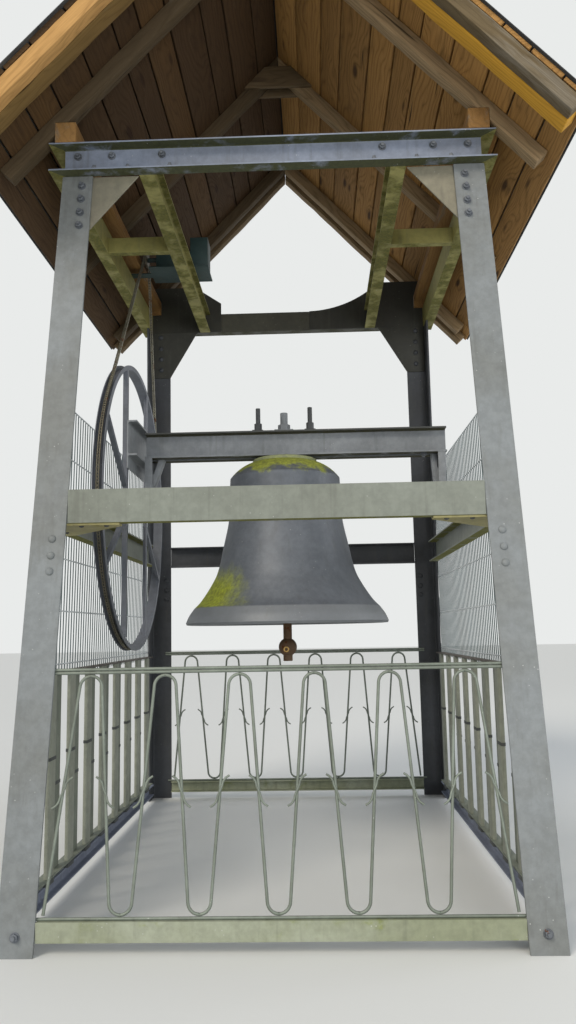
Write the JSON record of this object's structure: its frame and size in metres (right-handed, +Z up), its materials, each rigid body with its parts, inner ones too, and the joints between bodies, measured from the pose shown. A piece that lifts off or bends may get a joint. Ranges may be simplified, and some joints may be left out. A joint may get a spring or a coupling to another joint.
{
  "type": "bell frame with gable roof",
  "caption": "Open steel bell frame on four leaning legs with a boarded gable roof, a swinging bell with wheel and chain drive, railings, slat fences and wire mesh.",
  "frame": {"origin": "middle of the outline seen from above, at ground level under the legs", "axes": "+X to the right along the swing axis, +Y from the front to the back, +Z up"},
  "size_m": [2.982, 3.517, 5.2569],
  "materials": {
    "frame_paint": "weathered grey paint",
    "cast_housing": "painted casting",
    "rail_steel": "dull bare steel with rust",
    "slat_paint": "faded grey paint with algae",
    "mesh_wire": "dark green coated wire",
    "timber": "aged rough softwood",
    "boarding": "aged softwood boards",
    "roofing_felt": "mineral roofing felt",
    "drive_paint": "dark teal paint",
    "chain_steel": "oiled dark steel",
    "bell_steel": "dark grey cast steel with moss",
    "yoke_paint": "weathered grey paint",
    "bolt_steel": "dark rusty steel",
    "clapper_iron": "rusty forged iron"
  },
  "bodies": {
    "frame": {"leg_front_left": "frame_paint", "leg_front_right": "frame_paint", "leg_rear_left": "frame_paint", "leg_rear_right": "frame_paint", "ring_beam_front": "frame_paint", "ring_beam_rear": "frame_paint", "mid_beam_front": "frame_paint", "mid_beam_rear": "frame_paint", "base_beam_front": "frame_paint", "base_beam_rear": "frame_paint", "ring_beam_left": "frame_paint", "ring_beam_right": "frame_paint", "mid_beam_left": "frame_paint", "mid_beam_right": "frame_paint", "base_beam_left": "frame_paint", "base_beam_right": "frame_paint", "inner_beam_left": "frame_paint", "inner_beam_right": "frame_paint", "cross_tie_left": "frame_paint", "cross_tie_right": "frame_paint", "head_gussets_front": "frame_paint", "head_plates_rear": "frame_paint", "corner_plates_front": "frame_paint", "bearing_left": "cast_housing", "bearing_right": "cast_housing", "railing_front": "rail_steel", "railing_rear": "rail_steel", "fence_slats_left": "slat_paint", "fence_slats_right": "slat_paint", "mesh_panel_left": "mesh_wire", "mesh_panel_right": "mesh_wire", "wall_plate_left": "timber", "wall_plate_right": "timber", "rafters_front": "timber", "rafters_middle": "timber", "rafters_rear": "timber", "collar_plates": "timber", "verge_front_outer": "timber", "verge_front_inner": "timber", "verge_rear": "timber", "roof_boards_left": "boarding", "roof_boards_right": "boarding", "roof_felt": "roofing_felt", "drive_motor": "drive_paint", "drive_sprocket": "chain_steel", "drive_chain": "chain_steel"},
    "bell": {"bell": "bell_steel", "yoke_channels": "yoke_paint", "yoke_cross_channel": "yoke_paint", "crank_left": "yoke_paint", "crank_right": "yoke_paint", "hanger_bolts": "bolt_steel", "clapper_staple": "bolt_steel", "bell_wheel": "yoke_paint"},
    "clapper": {"clapper": "clapper_iron"}
  },
  "joints": [
    {"name": "bell_swing", "type": "hinge", "parent": "frame", "child": "bell", "pos_m": [0, 0.0415, 2.115], "axis": [1, 0, 0], "range_deg": [-55, 55]},
    {"name": "clapper_swing", "type": "hinge", "parent": "bell", "child": "clapper", "pos_m": [0, 0.0415, 2.325], "axis": [1, 0, 0], "range_deg": [-24.8, 24.8]}
  ]
}
